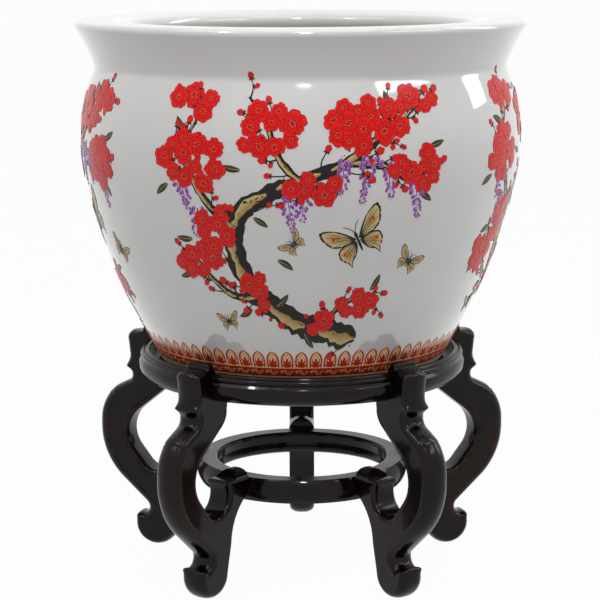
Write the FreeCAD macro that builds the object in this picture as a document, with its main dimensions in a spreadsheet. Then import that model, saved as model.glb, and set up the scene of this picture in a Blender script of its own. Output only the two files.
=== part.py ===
import FreeCAD, Part
import math
import os

import Sketcher

# Jardiniere on stand: a glazed porcelain bowl that sits in a five-legged wooden stand.
#
# The stand stands on the floor, z = 0, with its middle on the Z axis and one leg at the back, along +Y.
# Five cabriole legs are sawn from board. Each has a rebated head that carries the top ring, and a prong
# that holds the lower ring. Both rings are made of five segments, half-lapped on the leg centre lines,
# and a dowel at each leg pins the lap. The bowl's foot rests in the rebate of the top ring.

# Driving dimensions, in millimetres.
SIZES = {
    # stand
    "leg_count": 5,
    "seat_level": 246.0,
    "fit_gap": 0.1,
    "seat_gap": 0.3,
    # top ring
    "rebate_r": 175.8,
    "seat_width": 33.8,
    "ring_lip_width": 12.2,
    "ring_thickness": 22.0,
    # lower ring
    "low_ring_outer_r": 118.0,
    "low_ring_width": 20.0,
    "low_ring_level": 125.0,
    "low_ring_thickness": 27.0,
    "low_ring_bulge": 4.5,
    # joints
    "lap_length": 24.0,
    "dowel_r": 5.0,
    "dowel_length": 31.0,
    "dowel_chamfer": 1.0,
    # leg, whose depths are measured outwards from its face in the rebate
    "leg_thickness": 31.0,
    "leg_front_round": 8.0,
    "leg_bow_round": 4.0,
    "leg_block_round": 3.0,
    "shoulder_width": 17.8,
    "head_depth": 39.1,
    "head_rise": 22.0,
    "collar_depth": 34.6,
    "knee_depth": 76.1,
    "knee_level": 146.0,
    "knee_upper_round": 55.0,
    "knee_lower_round": 85.0,
    "bow_depth": 37.6,
    "notch_depth": 56.2,
    "notch_drop": 11.0,
    "notch_round": 21.0,
    "prong_rise": 12.0,
    "ankle_reach": 191.0,
    "ankle_level": 46.2,
    "ankle_round": 8.0,
    "foot_reach": 182.0,
    "foot_round": 26.0,
    "foot_flat": 0.5,
    # bowl
    "foot_clearance": 12.3,
    "bowl_height": 384.7,
    "bowl_foot_width": 14.5,
    "bowl_foot_recess": 6.0,
    "bowl_wall": 14.0,
    "bowl_floor": 14.0,
    "belly_r": 249.0,
    "belly_height": 250.7,
    "belly_round": 210.0,
    "side_round": 620.0,
    "rim_outer_r": 254.0,
    "rim_flat_r": 212.0,
    "rim_opening_r": 190.5,
    "rim_edge_round": 5.5,
    "lip_round": 9.0,
    "neck_depth": 48.0,
    "flare_round": 180.0,
}


class Size:
    """A length that carries both its value and the spreadsheet expression that gives it."""

    def __init__(self, value, text):
        self.value = value
        self.text = text

    @staticmethod
    def of(item):
        return item if isinstance(item, Size) else Size(float(item), repr(float(item)))

    def _join(self, other, sign, value):
        return Size(value, "(%s %s %s)" % (self.text, sign, Size.of(other).text))

    def __add__(self, other):
        return self._join(other, "+", self.value + Size.of(other).value)

    def __sub__(self, other):
        return self._join(other, "-", self.value - Size.of(other).value)

    def __mul__(self, other):
        return self._join(other, "*", self.value * Size.of(other).value)

    def __truediv__(self, other):
        return self._join(other, "/", self.value / Size.of(other).value)


def root(size):
    return Size(math.sqrt(size.value), "sqrt(%s)" % size.text)


class Sheet:
    """The spreadsheet: each driving dimension is read as an attribute of this object."""

    def __init__(self, document):
        self.sheet = document.addObject("Spreadsheet::Sheet", "Sizes")
        for row, (alias, value) in enumerate(SIZES.items(), start=1):
            self.sheet.set("A%d" % row, alias)
            self.sheet.set("B%d" % row, str(value))
            self.sheet.setAlias("B%d" % row, alias)
            setattr(self, alias, Size(float(value), "Sizes." + alias))
        self.rows = len(SIZES)

    def derive(self, alias, size):
        """Gives a length that follows from others a row of its own."""
        self.rows += 1
        self.sheet.set("A%d" % self.rows, alias)
        self.sheet.set("B%d" % self.rows, "=" + size.text.replace("Sizes.", ""))
        self.sheet.setAlias("B%d" % self.rows, alias)
        return Size(size.value, "Sizes." + alias)


doc = FreeCAD.newDocument("jardiniere")
S = Sheet(doc)
doc.recompute()

CONVEX = 1
CONCAVE = -1


# ---------------------------------------------------------------- sketches

class Anchor:
    """A circle that an outline runs round, or a corner where its radius is 0.

    An outline is walked anticlockwise. Straight lines join each anchor to the next and are tangent to
    both, so CONVEX anchors are walked anticlockwise and CONCAVE ones clockwise."""

    def __init__(self, x, y, radius=0.0, turn=CONVEX):
        self.x = Size.of(x)
        self.y = Size.of(y)
        self.radius = Size.of(radius)
        self.turn = turn

    def is_corner(self):
        return self.radius.value == 0.0


def corner(x, y):
    return Anchor(x, y)


def convex(x, y, radius):
    return Anchor(x, y, radius, CONVEX)


def concave(x, y, radius):
    return Anchor(x, y, radius, CONCAVE)


def tangent_line(first, second):
    """The ends of the line that leaves one anchor and joins the next."""
    reach_x = second.x.value - first.x.value
    reach_y = second.y.value - first.y.value
    reach = math.hypot(reach_x, reach_y)
    lead = first.turn * first.radius.value
    follow = second.turn * second.radius.value
    heading = math.atan2(reach_y, reach_x) - math.asin((follow - lead) / reach)
    left = FreeCAD.Vector(-math.sin(heading), math.cos(heading), 0)
    start = FreeCAD.Vector(first.x.value, first.y.value, 0) - left * lead
    end = FreeCAD.Vector(second.x.value, second.y.value, 0) - left * follow
    return start, end


def origin_plane(body, role):
    return [feature for feature in body.Origin.OriginFeatures if feature.Role == role][0]


def new_sketch(body, name, role, offset=None):
    sketch = body.newObject("Sketcher::SketchObject", name)
    sketch.AttachmentSupport = [(origin_plane(body, role), "")]
    sketch.MapMode = "FlatFace"
    if offset is not None:
        sketch.AttachmentOffset = offset
    return sketch


def bind_point(sketch, geometry, position, x, y):
    """Hold a sketch point at x, y from the sketch origin, through the sheet."""
    for kind, size in (("DistanceX", x), ("DistanceY", y)):
        index = sketch.addConstraint(
            Sketcher.Constraint(kind, -1, 1, geometry, position, size.value))
        sketch.setExpression("Constraints[%d]" % index, size.text)


def bind_radius(sketch, geometry, radius):
    index = sketch.addConstraint(Sketcher.Constraint("Radius", geometry, radius.value))
    sketch.setExpression("Constraints[%d]" % index, radius.text)


def draw_outline(sketch, anchors):
    """A closed outline of lines and arcs round the anchors, fully held by its anchors."""
    normal = FreeCAD.Vector(0, 0, 1)
    count = len(anchors)
    lines = [tangent_line(anchors[i], anchors[(i + 1) % count]) for i in range(count)]
    line_ids = [sketch.addGeometry(Part.LineSegment(*ends), False) for ends in lines]
    for i, anchor in enumerate(anchors):
        arriving = line_ids[i - 1]
        leaving = line_ids[i]
        if anchor.is_corner():
            sketch.addConstraint(Sketcher.Constraint("Coincident", arriving, 2, leaving, 1))
            bind_point(sketch, leaving, 1, anchor.x, anchor.y)
            continue
        centre = FreeCAD.Vector(anchor.x.value, anchor.y.value, 0)
        enter = lines[i - 1][1] - centre
        leave = lines[i][0] - centre
        if anchor.turn == CONCAVE:
            enter, leave = leave, enter
        circle = Part.Circle(centre, normal, anchor.radius.value)
        start_angle = math.atan2(enter.y, enter.x)
        end_angle = math.atan2(leave.y, leave.x)
        arc = sketch.addGeometry(Part.ArcOfCircle(circle, start_angle, end_angle), False)
        first, last = (1, 2) if anchor.turn == CONVEX else (2, 1)
        sketch.addConstraint(Sketcher.Constraint("Tangent", arriving, 2, arc, first))
        sketch.addConstraint(Sketcher.Constraint("Tangent", leaving, 1, arc, last))
        bind_point(sketch, arc, 3, anchor.x, anchor.y)
        bind_radius(sketch, arc, anchor.radius)


def draw_circle(sketch, x, y, radius):
    centre = FreeCAD.Vector(x.value, y.value, 0)
    circle = sketch.addGeometry(Part.Circle(centre, FreeCAD.Vector(0, 0, 1), radius.value), False)
    bind_point(sketch, circle, 3, x, y)
    bind_radius(sketch, circle, radius)


def polygon(*points):
    return [corner(x, y) for x, y in points]


# ---------------------------------------------------------------- features

def new_body(label):
    body = doc.addObject("PartDesign::Body", label)
    body.Label = label
    return body


def finish_feature(body, feature):
    body.Tip = feature
    doc.recompute()
    return feature


def revolve(body, sketch, angle=None):
    turned = body.newObject("PartDesign::Revolution", sketch.Name + "_turned")
    turned.Profile = sketch
    turned.ReferenceAxis = (sketch, ["V_Axis"])
    turned.Angle = 360
    if angle is not None:
        turned.Midplane = True
        turned.setExpression("Angle", angle.text)
    return finish_feature(body, turned)


def pad(body, sketch, length, centred=False):
    padded = body.newObject("PartDesign::Pad", sketch.Name + "_pad")
    padded.Profile = sketch
    padded.setExpression("Length", length.text)
    padded.Midplane = centred
    return finish_feature(body, padded)


def pocket(body, sketch, length, reverse=False, centred=False):
    """A pocket of the given depth. It must take material away."""
    before = body.Shape.Volume
    cut = body.newObject("PartDesign::Pocket", sketch.Name + "_cut")
    cut.Profile = sketch
    cut.setExpression("Length", length.text)
    cut.Reversed = reverse
    cut.Midplane = centred
    finish_feature(body, cut)
    if body.Shape.Volume >= before:
        raise RuntimeError("%s cuts nothing" % cut.Name)
    return cut


def round_edges(body, base, names, radius):
    """A fillet. It must leave a sound solid with less material."""
    before = body.Shape.Volume
    rounded = body.newObject("PartDesign::Fillet", base.Name + "_round")
    rounded.Base = (base, names)
    rounded.setExpression("Radius", radius.text)
    finish_feature(body, rounded)
    if not body.Shape.isValid() or body.Shape.Volume >= before:
        raise RuntimeError("%s rounds nothing" % rounded.Name)
    return rounded


def chamfer_edges(body, base, names, size):
    chamfered = body.newObject("PartDesign::Chamfer", base.Name + "_chamfer")
    chamfered.Base = (base, names)
    chamfered.setExpression("Size", size.text)
    return finish_feature(body, chamfered)


def place(body, angle_degrees):
    body.Placement = FreeCAD.Placement(
        FreeCAD.Vector(0, 0, 0), FreeCAD.Rotation(FreeCAD.Vector(0, 0, 1), angle_degrees))


# ---------------------------------------------------------------- levels that pieces share

ring_inner_r = S.rebate_r - S.seat_width
ring_outer_r = S.rebate_r + S.ring_lip_width
ring_bottom = S.seat_level - S.ring_thickness
ring_lap_level = S.seat_level - S.ring_thickness / 2
low_ring_inner_r = S.low_ring_outer_r - S.low_ring_width
low_ring_bottom = S.low_ring_level - S.low_ring_thickness
low_ring_middle = S.low_ring_level - S.low_ring_thickness / 2
leg_face_r = S.rebate_r + S.fit_gap
shoulder_r = S.rebate_r - S.shoulder_width
# The flat that a prong bears on takes six tenths of the lower ring's swell away.
low_ring_flat_r = S.low_ring_outer_r + S.low_ring_bulge * 0.6
prong_face_r = low_ring_flat_r + S.fit_gap
prong_top = S.low_ring_level + S.prong_rise
notch_reach = prong_face_r + S.notch_depth
notch_level = S.low_ring_level - S.notch_drop
# The bow keeps its proportions between the notch and the top ring.
opening_height = ring_bottom - notch_level
bow_round = opening_height * 35.0 / 110.0
bow_level = notch_level + opening_height * 25.0 / 110.0
bow_reach = leg_face_r + S.bow_depth
collar_reach = leg_face_r + S.collar_depth
knee_reach = leg_face_r + S.knee_depth
bowl_base = S.seat_level + S.seat_gap
half_leg = S.leg_thickness / 2
dowel_hole_r = S.dowel_r + S.fit_gap
half_dowel = S.dowel_length / 2
upper_dowel_reach = (shoulder_r + S.rebate_r) / 2
lower_dowel_depth = S.low_ring_width * 0.6
bowl_foot_r = S.rebate_r - S.foot_clearance
# What keeps a tangent run between two arcs from shrinking to nothing.
blend_run = Size.of(0.05)
leg_pitch = 360.0 / SIZES["leg_count"]
BACK = 90.0
zero = Size.of(0.0)


# ---------------------------------------------------------------- bowl

def centre_between(name, first, near, second, far):
    """The point near away from the first point and far from the second, right of the way across."""
    way_x = second[0] - first[0]
    way_z = second[1] - first[1]
    way = S.derive(name + "_way", root(way_x * way_x + way_z * way_z))
    along = S.derive(name + "_along", (near * near - far * far + way * way) / (way * 2))
    aside = S.derive(name + "_aside", root(near * near - along * along))
    return (S.derive(name + "_x", first[0] + (way_x * along + way_z * aside) / way),
            S.derive(name + "_z", first[1] + (way_z * along - way_x * aside) / way))


def bowl_profile():
    """Half section of the bowl, from the axis out along the foot, up the outside and down the inside."""
    belly = (S.belly_r - S.belly_round, bowl_base + S.belly_height)
    foot_round = Size.of(3.0)
    foot = (bowl_foot_r - foot_round, bowl_base + foot_round)
    # The flatter side runs from just outside the foot up into the belly.
    foot_step = Size.of(1.549)
    side = centre_between("side", belly, S.side_round - S.belly_round + blend_run,
                          foot, S.side_round - foot_round + foot_step)
    rim_top = bowl_base + S.bowl_height
    neck_z = rim_top - S.neck_depth
    neck_rise = neck_z - belly[1]
    neck_x = S.derive("neck_x", belly[0] + root(S.belly_round * S.belly_round - neck_rise * neck_rise)
                      + blend_run)
    # The flare leaves the crease of the neck with a short straight run, and ends in the rim's edge.
    neck_run = Size.of(2.922)
    rim_run = Size.of(0.27)
    edge = (S.rim_outer_r - S.rim_edge_round, rim_top - S.rim_edge_round)
    flare = centre_between("flare", (neck_x, neck_z), S.flare_round + neck_run,
                           edge, S.flare_round + S.rim_edge_round + rim_run)
    recess_z = bowl_base + S.bowl_foot_recess
    floor_z = recess_z + S.bowl_floor
    heel_round = Size.of(25.0)
    heel_z = floor_z + heel_round
    inner_side = S.side_round - S.bowl_wall
    heel_reach = inner_side - heel_round + blend_run
    heel_drop = side[1] - heel_z
    heel_x = side[0] + root(heel_reach * heel_reach - heel_drop * heel_drop)
    lip_fall = Size.of(3.0)
    lip_x = S.rim_opening_r + S.lip_round
    lip_z = rim_top - S.lip_round - lip_fall
    under_lip_round = Size.of(6.0)
    neck_wall_x = neck_x - S.bowl_wall
    return [
        corner(0, floor_z),
        corner(0, recess_z),
        corner(bowl_foot_r - S.bowl_foot_width, recess_z),
        corner(bowl_foot_r - S.bowl_foot_width, bowl_base),
        convex(*foot, foot_round),
        convex(*side, S.side_round),
        convex(*belly, S.belly_round),
        corner(neck_x, neck_z),
        concave(*flare, S.flare_round),
        convex(*edge, S.rim_edge_round),
        corner(S.rim_flat_r, rim_top),
        convex(lip_x, lip_z, S.lip_round),
        concave(neck_wall_x - under_lip_round, lip_z - S.lip_round - under_lip_round, under_lip_round),
        concave(*belly, S.belly_round - S.bowl_wall),
        concave(*side, inner_side),
        concave(heel_x, heel_z, heel_round),
    ]


def make_bowl():
    body = new_body("bowl")
    sketch = new_sketch(body, "bowl_profile", "XZ_Plane")
    draw_outline(sketch, bowl_profile())
    revolve(body, sketch)


# ---------------------------------------------------------------- rings

def top_ring_profile():
    """Section of the top ring: flat seat, rebate, a thin inner bead and two mouldings outside."""
    lower_round = Size.of(14.0)
    upper_round = Size.of(8.0)
    upper_round_drop = Size.of(6.5)
    groove_depth = Size.of(3.0)
    groove_rise = Size.of(0.4)
    groove_height = Size.of(0.8)
    bead_round = Size.of(3.2)
    bead_inset = Size.of(4.7)
    bead_rise = Size.of(4.2)
    channel_width = Size.of(5.6)
    channel_rise = Size.of(7.0)
    inner_bead_round = Size.of(2.6)
    inner_bead_rise = Size.of(7.4)
    seat_round = Size.of(3.0)
    groove_r = ring_outer_r - groove_depth
    groove_z = S.seat_level + groove_rise
    return [
        corner(ring_inner_r, ring_bottom),
        convex(ring_outer_r - lower_round, ring_bottom + lower_round, lower_round),
        convex(ring_outer_r - upper_round, S.seat_level - upper_round_drop, upper_round),
        corner(groove_r, groove_z),
        corner(groove_r, groove_z + groove_height),
        convex(ring_outer_r - bead_inset, S.seat_level + bead_rise, bead_round),
        corner(S.rebate_r + channel_width, S.seat_level + channel_rise),
        convex(S.rebate_r + inner_bead_round, S.seat_level + inner_bead_rise, inner_bead_round),
        corner(S.rebate_r, S.seat_level),
        convex(ring_inner_r + seat_round, S.seat_level - seat_round, seat_round),
    ]


def low_ring_profile():
    """Section of the lower ring: flat top, swelling outside, two soft beads round the hole."""
    half = S.low_ring_thickness / 2
    swell_round = (half * half + S.low_ring_bulge * S.low_ring_bulge) / (S.low_ring_bulge * 2)
    swell_x = S.low_ring_outer_r + S.low_ring_bulge - swell_round
    upper_bead = Size.of(4.0)
    lower_bead = Size.of(6.0)
    lower_bead_inset = Size.of(0.3)
    lower_bead_rise = Size.of(1.5)
    underside_inset = Size.of(9.0)
    quirk_depth = Size.of(1.4)
    quirk_rise = Size.of(1.0)
    return [
        corner(low_ring_inner_r + underside_inset, low_ring_bottom),
        corner(S.low_ring_outer_r + blend_run, low_ring_bottom),
        convex(swell_x, low_ring_middle, swell_round),
        corner(S.low_ring_outer_r + blend_run, S.low_ring_level),
        convex(low_ring_inner_r + upper_bead, S.low_ring_level - upper_bead, upper_bead),
        corner(low_ring_inner_r + quirk_depth, low_ring_middle + quirk_rise),
        convex(low_ring_inner_r + lower_bead + lower_bead_inset,
               low_ring_bottom + lower_bead + lower_bead_rise, lower_bead),
    ]


def end_offset(side, level):
    """A sketch placement on a leg's centre line, at the end of a segment that lies on side +1 or -1."""
    return FreeCAD.Placement(
        FreeCAD.Vector(0, 0, level.value),
        FreeCAD.Rotation(FreeCAD.Vector(0, 0, 1), side * leg_pitch / 2))


def ring_segment(label, angle, profile, inner_r, outer_r, face_r, lap_level, dowel_sketch):
    """One segment of a ring. Its ends are half-lapped, and cut back where a leg comes in."""
    body = new_body(label)
    sketch = new_sketch(body, label + "_profile", "XZ_Plane")
    draw_outline(sketch, profile())
    spare_angle = Size.of(16.0)
    revolve(body, sketch, Size(leg_pitch, "(360 / Sizes.leg_count)") + spare_angle)
    spare = Size.of(40.0)
    inside = inner_r - spare
    outside = outer_r + spare
    half_lap = S.lap_length / 2
    leg_side = half_leg + S.fit_gap
    for side, name in ((1, "left"), (-1, "right")):
        # Outside the lap, and outside the leg's face, the segment ends square to the joint.
        trim = new_sketch(body, "%s_%s_trim" % (label, name), "XY_Plane", end_offset(side, lap_level))
        ahead = Size.of(side)
        outline = polygon(
            (inside, half_lap * ahead), (face_r, half_lap * ahead), (face_r, zero - leg_side * ahead),
            (outside, zero - leg_side * ahead), (outside, spare * ahead), (inside, spare * ahead))
        draw_outline(trim, outline if side > 0 else outline[::-1])
        pocket(body, trim, spare * 2, centred=True)
        # The lap: the left end keeps its upper half, the right end its lower half.
        lap = new_sketch(body, "%s_%s_lap" % (label, name), "XY_Plane", end_offset(side, lap_level))
        draw_outline(lap, polygon((inside, zero - half_lap), (face_r + 1.0, zero - half_lap),
                                  (face_r + 1.0, half_lap), (inside, half_lap)))
        pocket(body, lap, spare, reverse=side < 0)
        dowel_sketch(body, label, name, side)
    place(body, angle)


def top_dowel_hole(body, label, name, side):
    """Half of the blind hole for the upright dowel, from the underside up."""
    hole = new_sketch(body, "%s_%s_hole" % (label, name), "XY_Plane", end_offset(side, ring_bottom))
    draw_circle(hole, upper_dowel_reach, zero, dowel_hole_r)
    pocket(body, hole, half_dowel + S.seat_gap, reverse=True)


def low_dowel_hole(body, label, name, side):
    """Part of the blind hole for the lying dowel, from the flat inwards."""
    degrees = side * leg_pitch / 2
    across = low_ring_flat_r.value * math.sin(math.radians(degrees))
    out = low_ring_flat_r.value * math.cos(math.radians(degrees))
    offset = FreeCAD.Placement(
        FreeCAD.Vector(across, 0, out), FreeCAD.Rotation(FreeCAD.Vector(0, 1, 0), degrees))
    hole = new_sketch(body, "%s_%s_hole" % (label, name), "YZ_Plane", offset)
    draw_circle(hole, zero, low_ring_middle, dowel_hole_r)
    pocket(body, hole, lower_dowel_depth + S.seat_gap)


def make_rings():
    for k in range(SIZES["leg_count"]):
        angle = BACK + leg_pitch * (k + 0.5)
        ring_segment("top_ring_segment_%d" % (k + 1), angle, top_ring_profile,
                     ring_inner_r, ring_outer_r, S.rebate_r, ring_lap_level, top_dowel_hole)
        ring_segment("lower_ring_segment_%d" % (k + 1), angle, low_ring_profile,
                     low_ring_inner_r, S.low_ring_outer_r, low_ring_flat_r, low_ring_middle,
                     low_dowel_hole)


# ---------------------------------------------------------------- legs

def leg_profile():
    """Outline of a leg in its own plane: x is the distance from the stand's axis, y the height."""
    # head: a knob outside, and a block that leans over the ring
    head_round = Size.of(9.0)
    knob_drop = Size.of(6.0)
    head_top = S.seat_level + S.head_rise
    knob_z = head_top - knob_drop - head_round
    block_outer_round = Size.of(3.0)
    block_inner_round = Size.of(4.0)
    block_width = Size.of(18.1)
    block_foot_rise = Size.of(5.0)
    # neck: a hollow under a small collar, and a longer hollow up to the knob
    neck_round = Size.of(8.0)
    neck_drop = Size.of(16.0)
    neck_z = ring_bottom - neck_drop
    collar_round = Size.of(4.0)
    collar_out = Size.of(1.5)
    collar_rise = Size.of(11.5)
    throat_round = Size.of(14.0)
    throat_out = Size.of(16.5)
    throat_rise = Size.of(24.0)
    # knee and shank, whose centres lie a little over and under the knee's level
    knee_spread = Size.of(4.0)
    knee_x = knee_reach - S.knee_upper_round
    knee_z = S.knee_level + knee_spread
    shank_x = knee_reach - S.knee_lower_round
    shank_z = S.knee_level - knee_spread
    # the carved cut, forty degrees up the knee
    cuff_x = knee_x + S.knee_upper_round * 0.766
    cuff_z = knee_z + S.knee_upper_round * 0.654
    cut_depth, cut_fall = Size.of(3.6), Size.of(1.2)
    cut_step, cut_height = Size.of(1.0), Size.of(3.1)
    # foot and toe
    foot_z = S.foot_round - S.foot_flat
    half_flat = root(S.foot_round * S.foot_round - foot_z * foot_z) + 0.01
    toe_round = Size.of(4.5)
    toe_inset = Size.of(1.2)
    toe_rise = Size.of(8.1)
    toe_x = S.foot_reach + S.foot_round - toe_round - toe_inset
    # hollow under the prong
    hollow_inset = Size.of(27.5)
    hollow_drop = Size.of(56.5)
    hollow_round = Size.of(61.0)
    hollow_z = low_ring_middle - hollow_drop
    heel_face_z = hollow_z + root(hollow_round * hollow_round - hollow_inset * hollow_inset) + blend_run
    # prong, from its tip over the crest and the scoop to its lip
    tip_round = Size.of(6.0)
    crest_round = Size.of(5.0)
    crest_run = Size.of(6.5)
    scoop_round = Size.of(10.0)
    scoop_run, scoop_rise = Size.of(6.3), Size.of(12.5)
    lip_round = Size.of(2.5)
    lip_gap = Size.of(0.3)
    lip_rise = Size.of(12.0)
    lip_x = notch_reach - S.notch_round + lip_gap
    lip_z = notch_level + lip_rise
    back_round = Size.of(24.0)
    back_drop = Size.of(12.0)
    return [
        # rebate for the top ring
        corner(shoulder_r, ring_bottom),
        # back of the leg below the ring, the bow and the notch behind the prong
        convex(shoulder_r + back_round, ring_bottom - back_drop, back_round),
        concave(bow_reach - bow_round, bow_level, bow_round),
        concave(notch_reach, notch_level, S.notch_round),
        # prong: lip, scooped top, crest and the face against the lower ring
        convex(lip_x, lip_z, lip_round),
        concave(lip_x - scoop_run, lip_z + scoop_rise, scoop_round),
        convex(prong_face_r + tip_round + crest_run, prong_top - crest_round, crest_round),
        convex(prong_face_r + tip_round, prong_top - tip_round, tip_round),
        corner(prong_face_r, heel_face_z),
        # hollow under the prong, down to the foot
        concave(prong_face_r - hollow_inset, hollow_z, hollow_round),
        convex(S.foot_reach, foot_z, S.foot_round),
        corner(S.foot_reach - half_flat, 0),
        corner(S.foot_reach + half_flat, 0),
        convex(S.foot_reach, foot_z, S.foot_round),
        convex(toe_x, foot_z + toe_rise, toe_round),
        # ankle and shank up to the knee
        concave(S.ankle_reach + S.ankle_round, S.ankle_level, S.ankle_round),
        convex(shank_x, shank_z, S.knee_lower_round),
        convex(knee_x, knee_z, S.knee_upper_round),
        # carved cut over the knee, neck and collar
        corner(cuff_x, cuff_z),
        corner(cuff_x - cut_depth, cuff_z - cut_fall),
        corner(cuff_x - cut_depth + cut_step, cuff_z - cut_fall + cut_height),
        concave(collar_reach + neck_round, neck_z, neck_round),
        convex(collar_reach + collar_out, neck_z + collar_rise, collar_round),
        concave(collar_reach + throat_out, neck_z + throat_rise, throat_round),
        # head and the block that stands over the ring
        convex(leg_face_r + S.head_depth - head_round, knob_z, head_round),
        corner(leg_face_r + block_width, head_top - knob_drop),
        convex(leg_face_r + block_width - block_inner_round, head_top - block_outer_round,
               block_outer_round),
        convex(leg_face_r + block_width - block_inner_round - block_outer_round,
               head_top - block_inner_round, block_inner_round),
        corner(leg_face_r, S.seat_level + block_foot_rise),
        corner(leg_face_r, ring_bottom),
    ]


def side_edges(feature, wanted):
    """Names of the edges round the sawn faces whose middle the test wants."""
    names = []
    for number, edge in enumerate(feature.Shape.Edges, start=1):
        on_side = all(abs(abs(vertex.Y) - half_leg.value) < 0.01 for vertex in edge.Vertexes)
        if on_side and edge.BoundBox.YLength < 0.01 and wanted(edge.CenterOfMass):
            names.append("Edge%d" % number)
    return names


def on_shin(point):
    """The showy front, from the carved cut over the knee down to the toe."""
    notch_floor = notch_level.value - S.notch_round.value
    clear_of_bow = point.z < notch_floor or point.x > bow_reach.value + 1.0
    return point.x > S.foot_reach.value + 3.0 and clear_of_bow and point.z < S.knee_level.value + 41.0


def on_head(point):
    """The front of the collar, neck and head, above the carved cut."""
    return point.x > collar_reach.value - 5.0 and point.z > S.knee_level.value + 42.5


def on_block(point):
    """The block that stands over the ring."""
    return point.z > S.seat_level.value + 5.1 and point.x < collar_reach.value - 5.0


def on_bow(point):
    """Behind the leg under the ring, through the notch and over the prong."""
    above_foot = point.z > notch_level.value - S.notch_round.value - 0.1
    behind_front = point.x < bow_reach.value + 0.1 and point.z < ring_bottom.value - 0.1
    above_heel = point.x > notch_reach.value - S.notch_round.value - 1.0 or point.z > notch_level.value
    clear_of_face = point.x > prong_face_r.value + 0.1
    return clear_of_face and above_foot and behind_front and above_heel and not on_head(point)


def round_prong(body, label):
    """Rounds the prong's head over to an arch, as wide as the leg is thick."""
    sketch = new_sketch(body, label + "_prong_arch", "YZ_Plane",
                        FreeCAD.Placement(FreeCAD.Vector(0, 0, prong_face_r.value), FreeCAD.Rotation()))
    spring = prong_top - half_leg
    side = half_leg + blend_run
    clear = prong_top + S.prong_rise
    draw_outline(sketch, [
        corner(side, spring), corner(side, clear), corner(zero - side, clear), corner(zero - side, spring),
        concave(zero, spring, half_leg)])
    pocket(body, sketch, S.notch_depth, reverse=True)


def make_leg(label, angle):
    body = new_body(label)
    sketch = new_sketch(body, label + "_outline", "XZ_Plane")
    draw_outline(sketch, leg_profile())
    shaped = pad(body, sketch, S.leg_thickness, centred=True)
    for wanted, radius in ((on_bow, S.leg_bow_round), (on_shin, S.leg_front_round),
                           (on_head, S.leg_front_round), (on_block, S.leg_block_round)):
        shaped = round_edges(body, shaped, side_edges(shaped, wanted), radius)
    round_prong(body, label)
    upright = new_sketch(body, label + "_upper_hole", "XY_Plane",
                         FreeCAD.Placement(FreeCAD.Vector(0, 0, ring_bottom.value), FreeCAD.Rotation()))
    draw_circle(upright, upper_dowel_reach, zero, dowel_hole_r)
    pocket(body, upright, half_dowel + S.seat_gap)
    lying = new_sketch(body, label + "_lower_hole", "YZ_Plane",
                       FreeCAD.Placement(FreeCAD.Vector(0, 0, prong_face_r.value), FreeCAD.Rotation()))
    draw_circle(lying, zero, low_ring_middle, dowel_hole_r)
    pocket(body, lying, S.dowel_length - lower_dowel_depth + S.seat_gap, reverse=True)
    place(body, angle)


def make_legs():
    for k in range(SIZES["leg_count"]):
        make_leg("leg_%d" % (k + 1), BACK + leg_pitch * k)


# ---------------------------------------------------------------- dowels

def make_dowel(label, role, offset, across, along, angle):
    body = new_body(label)
    sketch = new_sketch(body, label + "_round", role, offset)
    draw_circle(sketch, across, along, S.dowel_r)
    stick = pad(body, sketch, S.dowel_length)
    chamfer_edges(body, stick, ["Edge%d" % (n + 1) for n, edge in enumerate(stick.Shape.Edges)
                                if edge.Closed], S.dowel_chamfer)
    place(body, angle)


def make_dowels():
    upright_start = ring_bottom - half_dowel
    lying_start = low_ring_flat_r - lower_dowel_depth
    for k in range(SIZES["leg_count"]):
        angle = BACK + leg_pitch * k
        make_dowel("top_ring_dowel_%d" % (k + 1), "XY_Plane",
                   FreeCAD.Placement(FreeCAD.Vector(0, 0, upright_start.value), FreeCAD.Rotation()),
                   upper_dowel_reach, zero, angle)
        make_dowel("lower_ring_dowel_%d" % (k + 1), "YZ_Plane",
                   FreeCAD.Placement(FreeCAD.Vector(0, 0, lying_start.value), FreeCAD.Rotation()),
                   zero, low_ring_middle, angle)


# ---------------------------------------------------------------- build, check and write

def check_document():
    for item in doc.Objects:
        if "Invalid" in item.State or "Error" in item.State:
            raise RuntimeError("%s failed: %s" % (item.Name, item.State))


def write_parts():
    os.makedirs("parts", exist_ok=True)
    bodies = [item for item in doc.Objects if item.isDerivedFrom("PartDesign::Body")]
    for body in bodies:
        shape = body.Shape
        if shape.isNull() or not shape.isValid() or len(shape.Solids) != 1:
            raise RuntimeError("%s has no sound solid" % body.Label)
    for body in bodies:
        body.Shape.exportStep("parts/%s.step" % body.Label)
    print("%d parts written" % len(bodies))


make_bowl()
make_rings()
make_legs()
make_dowels()
doc.recompute()
check_document()
write_parts()
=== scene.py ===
import math
import random
from collections import namedtuple
from types import SimpleNamespace

import bmesh
import bpy
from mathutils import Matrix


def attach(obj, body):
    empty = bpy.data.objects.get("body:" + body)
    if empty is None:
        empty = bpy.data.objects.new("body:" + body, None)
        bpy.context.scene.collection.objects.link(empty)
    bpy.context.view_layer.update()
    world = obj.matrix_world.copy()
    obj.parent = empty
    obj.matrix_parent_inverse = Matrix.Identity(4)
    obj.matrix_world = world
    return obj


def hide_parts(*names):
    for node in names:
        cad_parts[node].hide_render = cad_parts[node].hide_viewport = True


# A porcelain fishbowl planter with painted flowers, in a lacquered wooden stand.
#
# Lengths are millimetres, in the frame's own axes, until a mesh, light or camera is made of them.
# An outline is a list of circles that it runs round, as a turned or sawn profile is drawn.

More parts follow.
